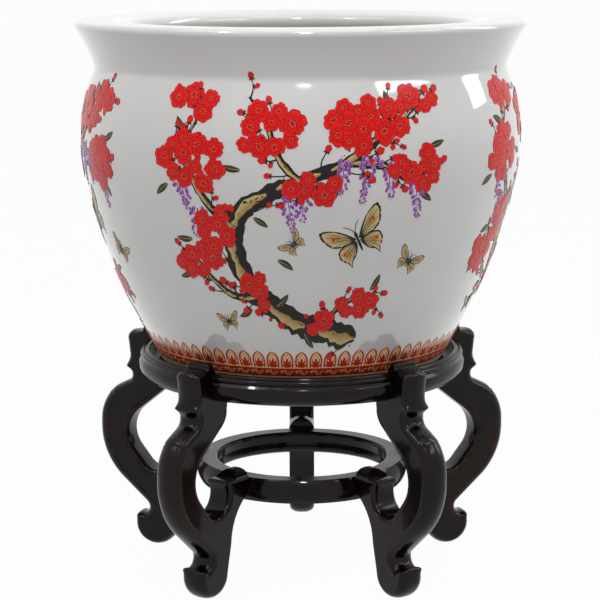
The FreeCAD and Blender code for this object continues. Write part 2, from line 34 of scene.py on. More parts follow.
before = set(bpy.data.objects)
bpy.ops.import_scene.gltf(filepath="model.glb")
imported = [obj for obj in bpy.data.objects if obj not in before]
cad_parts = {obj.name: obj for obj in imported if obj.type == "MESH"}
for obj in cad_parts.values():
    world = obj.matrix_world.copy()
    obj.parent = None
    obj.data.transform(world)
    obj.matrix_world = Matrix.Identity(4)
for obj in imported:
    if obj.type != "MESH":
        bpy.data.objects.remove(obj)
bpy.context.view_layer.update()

MM = 0.001
STAND = "stand"
BOWL = "bowl"


# ---- sizes

LEG_COUNT = 5
LEG_PITCH = 360.0 / LEG_COUNT
LEG_HALF = 15.5
BACK = 90.0

BOWL_BASE = 246.3
RIM_TOP = 631.0
BELLY_ROUND = 210.0
SIDE_ROUND = 620.0
BELLY = (39.0, 497.0)
SIDE_X = -362.85
SIDE_Z = 579.01
NECK_Z = 583.0
FLARE_ROUND = 180.0
FLARE = (403.2, 523.0)
BLEND_Z = 455.0
CREASE_ROUND = 10.0

PRONG_TOP = 137.0
PRONG_R = 160.0
ARCH_BASE = PRONG_TOP - LEG_HALF
CUFF = (238.2, 186.0)
CUT_REACH = 14.0

PAINT_R = 245.0
SUNK = -0.3


# ---- outlines

CONVEX = 1
CONCAVE = -1
Anchor = namedtuple("Anchor", "x z radius turn depth width bead")
Sample = namedtuple("Sample", "x z nx nz depth width bead")


def convex(x, z, radius, depth=0.5, width=0.5, bead=0.0):
    return Anchor(x, z, radius, CONVEX, depth, width, bead)


def concave(x, z, radius, depth=0.5, width=0.5, bead=0.0):
    return Anchor(x, z, radius, CONCAVE, depth, width, bead)


def corner(x, z):
    return Anchor(x, z, 0.0, CONVEX, 0.5, 0.5, 0.0)


def toward(point, heading, reach):
    return point[0] + math.cos(heading) * reach, point[1] + math.sin(heading) * reach


def tangent_line(first, second):
    """The straight run from one anchor's circle to the next, and its outward normal."""
    reach_x = second.x - first.x
    reach_z = second.z - first.z
    lead = first.turn * first.radius
    follow = second.turn * second.radius
    heading = math.atan2(reach_z, reach_x) - math.asin((follow - lead) / math.hypot(reach_x, reach_z))
    out_x, out_z = math.sin(heading), -math.cos(heading)
    start = (first.x + out_x * lead, first.z + out_z * lead)
    end = (second.x + out_x * follow, second.z + out_z * follow)
    return start, end, (out_x, out_z)


def sample_outline(anchors, step, turn=math.radians(7)):
    """Points round a closed outline that is walked anticlockwise, each with its outward normal."""
    count = len(anchors)
    lines = [tangent_line(anchors[i], anchors[(i + 1) % count]) for i in range(count)]
    samples = []
    for i, anchor in enumerate(anchors):
        arrive, leave = lines[i - 1][1], lines[i][0]
        form = (anchor.depth, anchor.width, anchor.bead)
        if anchor.radius == 0:
            normal = [a + b for a, b in zip(lines[i - 1][2], lines[i][2])]
            size = math.hypot(*normal)
            samples.append(Sample(anchor.x, anchor.z, normal[0] / size, normal[1] / size, *form))
        else:
            begin = math.atan2(arrive[1] - anchor.z, arrive[0] - anchor.x)
            sweep = math.atan2(leave[1] - anchor.z, leave[0] - anchor.x) - begin
            sweep = sweep % math.tau if anchor.turn == CONVEX else -((-sweep) % math.tau)
            pieces = max(2, math.ceil(abs(sweep) * anchor.radius / step), math.ceil(abs(sweep) / turn))
            for k in range(pieces + 1):
                angle = begin + sweep * k / pieces
                out_x, out_z = math.cos(angle), math.sin(angle)
                samples.append(Sample(anchor.x + anchor.radius * out_x, anchor.z + anchor.radius * out_z,
                                      anchor.turn * out_x, anchor.turn * out_z, *form))
        start, end, normal = lines[i]
        following = anchors[(i + 1) % count]
        pieces = max(1, math.ceil(math.hypot(end[0] - start[0], end[1] - start[1]) / step))
        for k in range(1, pieces):
            share = k / pieces
            form = [a + (b - a) * share for a, b in zip(anchor[4:], following[4:])]
            samples.append(Sample(start[0] + (end[0] - start[0]) * share,
                                  start[1] + (end[1] - start[1]) * share, *normal, *form))
    return samples


# ---- meshes

class Shape:
    """Points, faces and tones of one piece. A tone, 0 to 1, tells the material how dark the spot is."""

    def __init__(self):
        self.points = []
        self.faces = []
        self.tones = []

    def add(self, point, tone=0.5):
        self.points.append(point)
        self.tones.append(tone)
        return len(self.points) - 1

    def bridge(self, first, second):
        """A closed strip of faces between two loops of as many points."""
        for corners in zip(first, first[1:] + first[:1], second[1:] + second[:1], second):
            self.faces.append(list(dict.fromkeys(corners)))

    def build(self, name, material, body, slot, replaces=(), crease=35.0):
        mesh = bpy.data.meshes.new(name)
        mesh.from_pydata([[c * MM for c in p] for p in self.points], [], self.faces)
        mesh.attributes.new("tone", "FLOAT", "POINT").data.foreach_set("value", self.tones)
        return finish_mesh(mesh, name, material, body, replaces, crease)


def finish_mesh(mesh, name, material, body, replaces=(), crease=35.0):
    mesh.update()
    mesh.polygons.foreach_set("use_smooth", [len(p.vertices) < 9 for p in mesh.polygons])
    mesh.set_sharp_from_angle(angle=math.radians(crease))
    mesh.materials.append(material)
    piece = bpy.data.objects.new(name, mesh)
    bpy.context.scene.collection.objects.link(piece)
    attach(piece, body)
    if replaces:
        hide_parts(*replaces)
    return piece


def turned(shape, samples, segments):
    """A whole turn of an outline about the Z axis. A sample on the axis is one point."""
    rings = []
    for s in samples:
        if s.x < 0.01:
            rings.append([shape.add((0, 0, s.z))] * segments)
        else:
            rings.append([shape.add((*toward((0, 0), math.tau * k / segments, s.x), s.z))
                          for k in range(segments)])
    for first, second in zip(rings, rings[1:] + rings[:1]):
        if first[0] != first[1] or second[0] != second[1]:
            shape.bridge(first, second)


# ---- materials

def linear(red, green, blue):
    """A colour written as 0 to 255 steps, in the linear values that shaders take."""
    return tuple((c / 255.0) ** 2.2 for c in (red, green, blue)) + (1.0,)


class Nodes:
    """The shader nodes of a material or world under construction."""

    def __init__(self, tree):
        self.tree = tree

    def node(self, kind, **settings):
        made = self.tree.nodes.new("ShaderNode" + kind)
        for key, value in settings.items():
            if key in made.inputs:
                made.inputs[key].default_value = value
            else:
                setattr(made, key, value)
        return made

    def link(self, source, target):
        self.tree.links.new(source, target)

    def math(self, operation, first, second=0.0):
        made = self.node("Math", operation=operation)
        for value, socket in ((first, made.inputs[0]), (second, made.inputs[1])):
            if isinstance(value, (int, float)):
                socket.default_value = value
            else:
                self.link(value, socket)
        return made.outputs[0]

    def seen(self):
        """1 for rays that show the background: the camera's, and those that mirror or pass through."""
        path = self.node("LightPath")
        mirrored = self.math("MAXIMUM", path.outputs["Is Glossy Ray"], path.outputs["Is Transmission Ray"])
        return self.math("MAXIMUM", path.outputs["Is Camera Ray"], mirrored)


class Finish(Nodes):
    """A material, whose colours are written as 0 to 255 steps."""

    def __init__(self, name, roughness, coat, coat_roughness=0.04, specular=0.5):
        self.material = bpy.data.materials.new(name)
        self.material.use_nodes = True
        super().__init__(self.material.node_tree)
        self.shader = self.tree.nodes["Principled BSDF"]
        for key, value in (("Roughness", roughness), ("Specular IOR Level", specular),
                           ("Coat Weight", coat), ("Coat Roughness", coat_roughness)):
            self.shader.inputs[key].default_value = value

    def place(self, scale):
        place = self.node("Mapping")
        place.inputs["Scale"].default_value = scale
        self.link(self.node("TexCoord").outputs["Object"], place.inputs["Vector"])
        return place.outputs["Vector"]

    def noise(self, scale, detail=3.0, stretch=(1, 1, 1)):
        noise = self.node("TexNoise", Scale=scale, Detail=detail)
        self.link(self.place(stretch), noise.inputs["Vector"])
        return noise.outputs["Fac"]

    def ramp(self, source, *stops):
        """Colours or greys at places along a value."""
        ramp = self.node("ValToRGB")
        while len(ramp.color_ramp.elements) < len(stops):
            ramp.color_ramp.elements.new(0.5)
        for element, (position, colour) in zip(ramp.color_ramp.elements, stops):
            element.position = position
            element.color = linear(*colour) if isinstance(colour, tuple) else (colour, colour, colour, 1.0)
        self.link(source, ramp.inputs["Fac"])
        return ramp.outputs["Color"]

    def mix(self, share, first, second):
        mix = self.node("Mix", data_type="RGBA")
        self.link(share, mix.inputs["Factor"])
        for value, socket in ((first, mix.inputs[6]), (second, mix.inputs[7])):
            if isinstance(value, tuple):
                socket.default_value = linear(*value)
            else:
                self.link(value, socket)
        return mix.outputs[2]

    def bump(self, height, strength, distance):
        bump = self.node("Bump", Strength=strength, Distance=distance)
        self.link(height, bump.inputs["Height"])
        self.link(bump.outputs["Normal"], self.shader.inputs["Normal"])

    def colour(self, source):
        self.link(source, self.shader.inputs["Base Color"])

    def roughness(self, source):
        self.link(source, self.shader.inputs["Roughness"])


# The rim's unglazed band in metres: its inner and outer radius, and the height it starts at.
BARE_INNER = 0.2135
BARE_OUTER = 0.2512
BARE_LOW = 0.6302


def porcelain():
    """White glaze, with a dull unglazed band on the flat of the rim."""
    finish = Finish("porcelain", roughness=0.08, coat=1.0, coat_roughness=0.02)
    clouds = finish.ramp(finish.noise(6.0), (0.3, (214, 213, 211)), (0.75, (222, 221, 219)))
    place = finish.node("SeparateXYZ")
    finish.link(finish.node("TexCoord").outputs["Object"], place.inputs[0])
    flat = finish.node("CombineXYZ")
    for axis in (0, 1):
        finish.link(place.outputs[axis], flat.inputs[axis])
    reach = finish.node("VectorMath", operation="LENGTH")
    finish.link(flat.outputs[0], reach.inputs[0])
    waver = finish.math("MULTIPLY", finish.noise(30.0), 0.003)
    radius = finish.math("ADD", reach.outputs["Value"], waver)
    outside = finish.math("GREATER_THAN", radius, BARE_INNER)
    inside = finish.math("LESS_THAN", radius, BARE_OUTER)
    high = finish.math("GREATER_THAN", place.outputs[2], BARE_LOW)
    band = finish.math("MULTIPLY", finish.math("MULTIPLY", outside, inside), high)
    bare = finish.ramp(finish.noise(120.0, 6.0), (0.3, (206, 188, 180)), (0.7, (222, 206, 198)))
    finish.colour(finish.mix(band, clouds, bare))
    finish.roughness(finish.ramp(band, (0.0, 0.08), (1.0, 0.5)))
    finish.bump(finish.noise(14.0, 1.0), 0.05, 0.002)
    return finish.material


def lacquer():
    """Black-brown lacquer over rosewood: grain that shows in the light, worn red along the edges."""
    finish = Finish("lacquered_rosewood", roughness=0.3, coat=0.28, coat_roughness=0.07, specular=0.06)
    grain = finish.ramp(finish.noise(70.0, 5.0, stretch=(1, 1, 0.1)),
                        (0.35, (8, 6, 5)), (0.8, (26, 14, 11)))
    patches = finish.ramp(finish.noise(9.0, 2.0), (0.52, 0.0), (0.85, 0.6))
    body = finish.mix(patches, grain, (44, 18, 15))
    bevel = finish.node("Bevel", samples=4, Radius=0.0018)
    geometry = finish.node("NewGeometry")
    turn = finish.node("VectorMath", operation="DOT_PRODUCT")
    finish.link(bevel.outputs["Normal"], turn.inputs[0])
    finish.link(geometry.outputs["Normal"], turn.inputs[1])
    edge = finish.ramp(turn.outputs["Value"], (0.86, 1.0), (0.985, 0.0))
    spots = finish.ramp(finish.noise(60.0, 4.0), (0.4, 0.0), (0.62, 0.7))
    worn = finish.math("MULTIPLY", edge, spots)
    finish.colour(finish.mix(worn, body, (112, 52, 40)))
    finish.roughness(finish.ramp(finish.noise(24.0, 4.0), (0.3, 0.2), (0.75, 0.34)))
    finish.bump(finish.noise(30.0, 2.0), 0.3, 0.0016)
    return finish.material


def dowel_wood():
    finish = Finish("dowel_wood", roughness=0.55, coat=0.0)
    finish.colour(finish.ramp(finish.noise(120.0, 5.0, stretch=(1, 1, 0.15)),
                              (0.3, (150, 108, 70)), (0.7, (186, 146, 100))))
    return finish.material


def enamelled(shape, name, *stops):
    """Builds a shape in painted enamel, whose colour runs along the tone that each brush stroke carries."""
    finish = Finish(name, roughness=0.28, coat=0.12, coat_roughness=0.08, specular=0.2)
    tone = finish.node("Attribute", attribute_name="tone").outputs["Fac"]
    grain = finish.math("MULTIPLY", finish.math("SUBTRACT", finish.noise(420.0, 4.0), 0.5), 0.35)
    finish.colour(finish.ramp(finish.math("ADD", tone, grain), *stops))
    shape.build(name, finish.material, BOWL, "glazed_porcelain", crease=50.0)


# ---- bowl

FOOT = convex(160.5, BOWL_BASE + 3.0, 3.0)
SIDE = convex(SIDE_X, SIDE_Z, SIDE_ROUND)
FOOT_RUN = tangent_line(FOOT, SIDE)


def meet(first, first_reach, second, second_reach):
    """The upper of the two points that lie so far from one centre and so far from another."""
    way_x, way_z = second[0] - first[0], second[1] - first[1]
    apart = math.hypot(way_x, way_z)
    along = (first_reach ** 2 - second_reach ** 2 + apart ** 2) / (2 * apart)
    aside = math.sqrt(first_reach ** 2 - along ** 2)
    return (first[0] + (way_x * along - way_z * aside) / apart,
            first[1] + (way_z * along + way_x * aside) / apart)


# The neck's crease is a small round between the belly and the flare.
CREASE = meet(BELLY, BELLY_ROUND + CREASE_ROUND + 0.02, FLARE, FLARE_ROUND - CREASE_ROUND + 0.02)
CREASE_LOW = BELLY[1] + (CREASE[1] - BELLY[1]) * BELLY_ROUND / (BELLY_ROUND + CREASE_ROUND)
FLARE_LOW = FLARE[1] + (CREASE[1] - FLARE[1]) * FLARE_ROUND / (FLARE_ROUND - CREASE_ROUND)


def bowl_profile():
    foot_r = 163.5
    wall = 14.0
    recess_z = BOWL_BASE + 6.0
    floor_z = recess_z + wall
    foot_inner = foot_r - 14.5
    neck_x = BELLY[0] + math.sqrt(BELLY_ROUND ** 2 - (NECK_Z - BELLY[1]) ** 2) + 0.05
    heel_round = 25.0
    heel_reach = SIDE_ROUND - wall - heel_round + 0.05
    heel_z = floor_z + heel_round
    heel_x = SIDE_X + math.sqrt(heel_reach ** 2 - (SIDE_Z - heel_z) ** 2)
    lip_x, lip_round = 199.5, 9.0
    lip_z = RIM_TOP - lip_round - 3.0
    under_lip = 6.0
    return [
        corner(0, floor_z),
        corner(0, recess_z),
        corner(foot_inner, recess_z),
        convex(foot_inner + 1.0, BOWL_BASE + 1.0, 1.0),
        FOOT,
        SIDE,
        convex(*BELLY, BELLY_ROUND),
        concave(*CREASE, CREASE_ROUND),
        concave(*FLARE, FLARE_ROUND),
        convex(248.5, RIM_TOP - 5.5, 5.5),
        corner(212.0, RIM_TOP),
        convex(lip_x, lip_z, lip_round),
        concave(neck_x - wall - under_lip, lip_z - lip_round - under_lip, under_lip),
        concave(*BELLY, BELLY_ROUND - wall),
        concave(SIDE_X, SIDE_Z, SIDE_ROUND - wall),
        concave(heel_x, heel_z, heel_round),
    ]


def bowl_side(z):
    """The bowl's outer radius at a height, and the outward direction there."""
    for low, centre, radius in ((FLARE_LOW, FLARE, FLARE_ROUND), (CREASE_LOW, CREASE, CREASE_ROUND)):
        if z > low:
            rise = z - centre[1]
            reach = math.sqrt(radius ** 2 - rise ** 2)
            return centre[0] - reach, reach / radius, -rise / radius
    start, end, normal = FOOT_RUN
    if z < end[1]:
        share = (z - start[1]) / (end[1] - start[1])
        return start[0] + (end[0] - start[0]) * share, normal[0], normal[1]
    centre, radius = (SIDE, SIDE_ROUND) if z < BLEND_Z else (BELLY, BELLY_ROUND)
    rise = z - centre[1]
    reach = math.sqrt(radius ** 2 - rise ** 2)
    return centre[0] + reach, reach / radius, rise / radius


def on_bowl(angle, z, lift):
    """A point that stands proud of the bowl's outside by lift."""
    radius, out, up = bowl_side(z)
    radius += out * lift
    return radius * math.cos(angle), radius * math.sin(angle), z + up * lift


def make_bowl(material):
    shape = Shape()
    turned(shape, sample_outline(bowl_profile(), step=5.0, turn=math.radians(5)), segments=256)
    shape.build("porcelain_bowl", material, BOWL, "glazed_porcelain", ["bowl"], crease=30.0)


# ---- brush work

def panel(centre, radius=PAINT_R):
    """Maps a drawing's u, to the right, and v, the height, onto the bowl round a centre line."""
    return lambda u, v, lift: on_bowl(centre + u / radius, v, lift)


def dab(shape, place, centre, rim, lift, tones=(0.5, 0.5), rings=1):
    """A closed flat dab of enamel, star-shaped about its centre."""
    u, v = centre
    count = len(rim)
    middle = shape.add(place(u, v, lift), tones[0])
    under = shape.add(place(u, v, SUNK), tones[0])
    loops = []
    for ring in range(1, rings + 1):
        share = ring / rings
        tone = tones[0] + (tones[1] - tones[0]) * share
        loops.append([shape.add(place(u + (a - u) * share, v + (b - v) * share, lift), tone)
                      for a, b in rim])
    below = [shape.add(place(a, b, SUNK), tones[1]) for a, b in rim]
    for k in range(count):
        after = (k + 1) % count
        shape.faces.append([middle, loops[0][k], loops[0][after]])
        for inner, outer in zip(loops, loops[1:]):
            shape.faces.append([inner[k], outer[k], outer[after], inner[after]])
        shape.faces.append([loops[-1][k], below[k], below[after], loops[-1][after]])
        shape.faces.append([under, below[after], below[k]])


def stroke(shape, place, path, left, right, lift, tone=(0.5, 0.5), columns=1):
    """A closed brush stroke along a path, with its own width to each side at every point."""
    rows = []
    count = len(path)
    for i, (u, v) in enumerate(path):
        before, after = path[max(i - 1, 0)], path[min(i + 1, count - 1)]
        along_u, along_v = after[0] - before[0], after[1] - before[1]
        size = math.hypot(along_u, along_v) or 1.0
        side_u, side_v = -along_v / size, along_u / size
        row = []
        for c in range(columns + 1):
            share = c / columns
            off = left[i] * (1 - share) - right[i] * share
            shade = tone[0] + (tone[1] - tone[0]) * share
            row.append(shape.add(place(u + side_u * off, v + side_v * off, lift), shade))
        for off in (-right[i], left[i]):
            row.append(shape.add(place(u + side_u * off, v + side_v * off, SUNK), tone[0]))
        rows.append(row)
    for first, second in zip(rows, rows[1:]):
        shape.bridge(first, second)
    shape.faces.append(list(reversed(rows[0])))
    shape.faces.append(rows[-1])


def smooth_path(points, pieces):
    """A curve through the points, with so many pieces between each two."""
    ends = [points[0]] + list(points) + [points[-1]]
    path = []
    for a, b, c, d in zip(ends, ends[1:], ends[2:], ends[3:]):
        for k in range(pieces):
            t = k / pieces
            path.append(tuple(
                0.5 * (2 * q + (r - p) * t + (2 * p - 5 * q + 4 * r - s) * t * t
                       + (3 * q - p - 3 * r + s) * t ** 3)
                for p, q, r, s in zip(a, b, c, d)))
    path.append(tuple(points[-1]))
    return path


def oval(centre, half_length, half_width, heading, count=12, ruffle=0.0, lobes=5, twist=0.0):
    """The rim of a petal or leaf: an oval along a heading, with a ruffled far end."""
    rim = []
    for k in range(count):
        angle = math.tau * k / count
        swell = 1 + ruffle * math.cos(lobes * angle + twist) * (0.5 + 0.5 * math.cos(angle))
        a = half_length * swell * math.cos(angle)
        b = half_width * swell * math.sin(angle) * (1 + 0.12 * math.cos(angle))
        rim.append((centre[0] + a * math.cos(heading) - b * math.sin(heading),
                    centre[1] + a * math.sin(heading) + b * math.cos(heading)))
    return rim


def thin_stroke(shape, place, points, width, lift, pieces=3, taper=0.25):
    path = smooth_path(points, pieces)
    last = len(path) - 1
    halves = [width / 2 * (1 - (1 - taper) * i / last) for i in range(last + 1)]
    stroke(shape, place, path, halves, halves, lift)


# Each paint's piece, and its colours from dark to light.
PAINTS = {
    "line_red": ("red_outlines", (0.0, (104, 3, 5)), (1.0, (150, 6, 8))),
    "red": ("red_petals", (0.0, (150, 4, 6)), (0.35, (226, 8, 9)), (1.0, (248, 28, 20))),
    "mauve": ("mauve_petals", (0.0, (92, 34, 110)), (0.5, (164, 92, 180)), (1.0, (205, 160, 214))),
    "ink": ("ink_bark", (0.0, (10, 9, 8)), (1.0, (46, 36, 24))),
    "gold": ("gold_wood", (0.0, (120, 84, 40)), (0.5, (190, 158, 96)), (1.0, (224, 202, 148))),
    "cream": ("cream_spots", (0.0, (214, 190, 140)), (1.0, (236, 220, 184))),
    "leaf": ("dark_leaves", (0.0, (20, 24, 16)), (1.0, (70, 78, 46))),
}
LAYER = 0.022


def blossom(paints, place, centre, radius, lift, draw):
    """A small rosette: rings of ruffled petals, each on a darker one that shows as its drawn edge."""
    start = draw.uniform(0, math.tau)
    squash = draw.uniform(0.82, 1.0)
    lean = draw.uniform(0, math.pi)
    for count, reach, length, width, shade in ((6, 0.58, 0.42, 0.42, 0.66), (5, 0.30, 0.34, 0.32, 0.48)):
        for k in range(count):
            heading = start + math.tau * k / count + draw.uniform(-0.12, 0.12)
            grow = radius * draw.uniform(0.92, 1.08) * (1 - (1 - squash) * abs(math.cos(heading - lean)))
            middle = toward(centre, heading, reach * grow)
            twist = draw.uniform(0, math.tau)
            base = toward(middle, heading, -0.45 * length * grow)
            tones = (shade - 0.42, shade + draw.uniform(0.05, 0.32))
            for shape, spread, step in ((paints.line_red, 1.08, 0), (paints.red, 0.95, 1)):
                rim = oval(middle, length * grow * spread, width * grow * spread, heading,
                           count=11, ruffle=0.10, lobes=5, twist=twist)
                dab(shape, place, base, rim, lift + LAYER * step, tones)
            lift += LAYER * 0.8
        start += 0.5
    heart = radius * 0.15
    dab(paints.line_red, place, centre, oval(centre, heart, heart, 0, 8), lift, (0.1, 0.1))
    for k in range(7):
        angle = math.tau * k / 7 + start
        spot = toward(centre, angle, heart * draw.uniform(1.0, 1.9))
        dab(paints.gold, place, spot, oval(spot, radius * 0.042, radius * 0.042, 0, 5),
            lift + LAYER, (0.5, 0.6))


def bud(paints, place, centre, radius, heading, draw):
    """A closed bud: two side petals, one over them, and dark sepals."""
    for side, spread in ((-0.5, 0.8), (0.5, 0.8), (0.0, 1.0)):
        turn = heading + side
        middle = toward(centre, turn, radius * 0.25)
        lift = 0.30 + (0.06 if side == 0 else 0.0)
        for shape, size, step in ((paints.line_red, 1.12, 0), (paints.red, 0.96, 1)):
            rim = oval(middle, radius * spread * size, radius * 0.72 * spread * size, turn, 12, 0.05)
            dab(shape, place, middle, rim, lift + LAYER * step, (0.45, 0.75 + draw.uniform(-0.1, 0.1)))
    for side in (-0.7, 0.0, 0.7):
        turn = heading + math.pi + side * 0.8
        middle = toward(centre, turn, radius * 0.75)
        dab(paints.ink, place, middle, oval(middle, radius * 0.5, radius * 0.2, turn + side, 8),
            0.44, (0.3, 0.4))


def leaf(paints, place, base, length, heading, draw):
    """A dark pointed leaf with a pale middle vein."""
    bend = draw.uniform(-0.35, 0.35)
    path = [toward(base, heading + bend * k / 8, length * k / 8) for k in range(9)]
    halves = [length * 0.17 * math.sin(math.pi * min(1.0, 0.06 + 0.94 * k / 8)) ** 0.8 + 0.15
              for k in range(9)]
    stroke(paints.leaf, place, path, halves, halves, 0.26, (0.2, 0.75), columns=2)
    thin_stroke(paints.gold, place, [path[0], path[4], path[7]], 0.7, 0.30, pieces=3)


def raceme(paints, place, start, length, sway, draw):
    """A hanging cluster of small mauve flowers that narrows to its tip."""
    count = int(length / 3.1)
    thin_stroke(paints.ink, place, [start, (start[0] + sway * 0.5, start[1] - length * 0.5),
                                    (start[0] + sway, start[1] - length)], 0.9, 0.2)
    for k in range(count):
        share = k / count
        spread = 9.5 * (1 - share) ** 0.7 + 1.0
        for side in (-1, 1):
            centre = (start[0] + sway * share + side * spread * draw.uniform(0.15, 1.0),
                      start[1] - length * share + draw.uniform(-1.5, 1.5))
            size = 3.5 * (1 - 0.55 * share) * draw.uniform(0.85, 1.15)
            heading = math.radians(-90) + side * draw.uniform(0.2, 1.1)
            lift = 0.26 + LAYER * (k % 7)
            dab(paints.mauve, place, centre, oval(centre, size, size * 0.72, heading, 9, 0.1, 3),
                lift, (0.15 + 0.3 * draw.random(), 0.75))
            tip = toward(centre, heading, size * 0.5)
            dab(paints.mauve, place, tip, oval(tip, size * 0.45, size * 0.3, heading, 7),
                lift + LAYER, (0.0, 0.1))


FOREWING = [(0.04, 0.03), (0.22, 0.27), (0.52, 0.56), (0.90, 0.74), (1.0, 0.62), (0.93, 0.36), (0.78, 0.12),
            (0.5, 0.0), (0.2, -0.04)]
HINDWING = [(0.06, -0.03), (0.34, 0.02), (0.64, -0.04), (0.74, -0.24), (0.66, -0.44), (0.55, -0.54),
            (0.49, -0.74), (0.40, -0.56), (0.22, -0.42), (0.09, -0.2)]


def butterfly(paints, place, centre, span, heading, draw):
    """Gold wings with a scalloped ink edge, veins and spots, and a dark body with feelers."""
    def at(across, along):
        return (centre[0] + span * (along * math.cos(heading) - across * math.sin(heading)),
                centre[1] + span * (along * math.sin(heading) + across * math.cos(heading)))

    for side in (-1, 1):
        for outline, root, middle, lift in ((HINDWING, (0.08, -0.06), (0.42, -0.26), 0.22),
                                            (FOREWING, (0.08, 0.06), (0.55, 0.34), 0.32)):
            def on_wing(x, y, size=1.0, out=0.0, up=0.0):
                return at(side * (middle[0] + (x - middle[0]) * size + out),
                          middle[1] + (y - middle[1]) * size + up)

            closed = smooth_path(outline + outline[:1], 3)[:-1]
            for shape, size, step, tones in ((paints.ink, 1.0, 0, (0.3, 0.1)),
                                             (paints.gold, 0.84, 1, (0.2, 0.95))):
                rim = [on_wing(x, y, size) for x, y in closed]
                dab(shape, place, on_wing(*middle), rim, lift + LAYER * step, tones, rings=2)
            start = at(side * root[0], root[1])
            for x, y in outline[2:-1]:
                thin_stroke(paints.ink, place, [start, on_wing(x, y, 0.9)], span * 0.026,
                            lift + LAYER * 2, pieces=6)
                spot = on_wing(x, y, 0.93, 0.02, 0.03)
                dab(paints.cream, place, spot, oval(spot, span * 0.026, span * 0.02, heading, 6),
                    lift + LAYER * 3, (0.8, 0.9))
            spot = on_wing(*middle, out=0.12, up=0.02)
            dab(paints.red, place, spot, oval(spot, span * 0.055, span * 0.045, heading, 9),
                lift + LAYER * 4, (0.4, 0.7))
    for along, half, across in ((0.13, 0.12, 0.05), (-0.16, 0.24, 0.042)):
        middle = at(0, along)
        dab(paints.ink, place, middle, oval(middle, span * half, span * across, heading, 12),
            0.46, (0.5, 0.05))
    for side in (-1, 1):
        thin_stroke(paints.ink, place, [at(0, 0.22), at(side * 0.1, 0.42), at(side * 0.26, 0.55)],
                    span * 0.024, 0.44)


def bough(paints, place, points, thick, thin, draw):
    """A gnarled bough: ragged dark bark, with lighter wood and marks along its upper side."""
    pieces = 8
    path = smooth_path(points, pieces)
    last = len(path) - 1
    left, right = [], []
    knot = 0.0
    for i in range(last + 1):
        half = (thick + (thin - thick) * (i / last) ** 1.2) / 2
        knot = 0.6 * knot + 0.4 * draw.uniform(-0.35, 0.55)
        half *= min(1.0, 0.25 + 0.2 * i)
        left.append(half * (1 + knot + draw.uniform(-0.12, 0.16)))
        right.append(half * (1 - 0.5 * knot + draw.uniform(-0.12, 0.22)))
    stroke(paints.ink, place, path, left, right, 0.16, (0.45, 0.05), columns=4)
    run = 0
    while run < last - 6:
        length = draw.randint(5, 12)
        stop = min(run + length, last - 2)
        cut = path[run:stop + 1]
        size = len(cut) - 1
        swell = [math.sin(math.pi * (k + 0.35) / (size + 0.7)) ** 0.5 for k in range(size + 1)]
        light_left = [left[run + k] * (0.62 + 0.12 * draw.random()) * swell[k] for k in range(size + 1)]
        light_right = [right[run + k] * draw.uniform(0.0, 0.35) * swell[k] for k in range(size + 1)]
        stroke(paints.gold, place, cut, light_left, light_right, 0.20, (0.85, 0.25), columns=3)
        for k in range(1, size):
            if draw.random() < 0.75:
                spot = tuple(c + draw.uniform(-0.2, 0.5) * left[run + k] for c in cut[k])
                heading = math.atan2(cut[k][1] - cut[k - 1][1], cut[k][0] - cut[k - 1][0])
                dab(paints.ink, place, spot, oval(spot, draw.uniform(1.2, 3.6), draw.uniform(0.35, 0.8),
                                                  heading + draw.uniform(-0.3, 0.3), 7), 0.24, (0.5, 0.6))
        run = stop + draw.randint(0, 2)
    return path


def twig(paints, place, points, width, draw):
    path = smooth_path(points, 5)
    last = len(path) - 1
    left, right = ([width / 2 * (1 - 0.7 * i / last) * draw.uniform(0.8, most) for i in range(last + 1)]
                   for most in (1.5, 1.3))
    stroke(paints.ink, place, path, left, right, 0.14, (0.3, 0.1), columns=2)


TRUNK = [(74, 300), (38, 310), (-6, 322), (-46, 348), (-72, 388), (-70, 430), (-40, 460), (4, 478),
         (46, 494), (82, 522), (98, 552)]
BOUGHS = [
    ([(-70, 426), (-100, 452), (-120, 488), (-142, 512)], 11.0, 3.0),
    ([(0, 476), (-24, 504), (-34, 536), (-54, 562)], 9.0, 2.4),
    ([(46, 494), (86, 490), (120, 472), (146, 478)], 10.0, 2.6),
    ([(-50, 352), (-80, 350), (-108, 370), (-130, 402)], 10.0, 2.6),
    ([(30, 312), (44, 336), (70, 348), (92, 344)], 8.0, 2.4),
    ([(78, 518), (104, 532), (122, 548), (142, 556)], 6.0, 1.8),
    ([(-112, 476), (-124, 510), (-110, 540), (-118, 560)], 5.0, 1.6),
]
# Centre, reach to each side and up and down, and number of flowers.
CLUSTERS = [
    (-116, 494, 36, 26, 11), (-34, 528, 36, 22, 9), (66, 534, 40, 22, 13), (122, 486, 26, 24, 8),
    (14, 470, 26, 12, 5), (-96, 424, 22, 22, 6), (-122, 386, 22, 18, 6), (-48, 356, 16, 16, 4),
    (66, 342, 30, 12, 6), (24, 318, 12, 8, 2), (-112, 556, 26, 10, 4), (124, 554, 24, 10, 4),
]
RACEMES = [(70, 500, 50, -7), (90, 494, 40, 5), (44, 496, 36, -3), (-14, 460, 40, 6), (4, 462, 30, -4),
           (122, 476, 44, 8), (-112, 446, 34, -6), (-128, 470, 28, 4)]
LEAVES = [
    (-58, 524, 24, 60), (-122, 520, 24, 140), (-146, 470, 20, 200), (-36, 540, 22, 40), (96, 546, 22, 100),
    (96, 500, 22, -20), (138, 508, 20, 20), (128, 462, 20, -35), (-62, 488, 20, 170), (-124, 412, 20, 190),
    (-26, 392, 20, -30), (-30, 340, 20, 30), (-62, 336, 20, 215), (84, 356, 20, 40),
    (4, 308, 22, -60), (-134, 374, 18, 220), (30, 478, 18, -50), (-50, 438, 18, -40),
]
BUTTERFLIES = [(62, 414, 36, 118), (128, 386, 18, 62), (-8, 410, 15, 140), (-96, 320, 15, 100)]


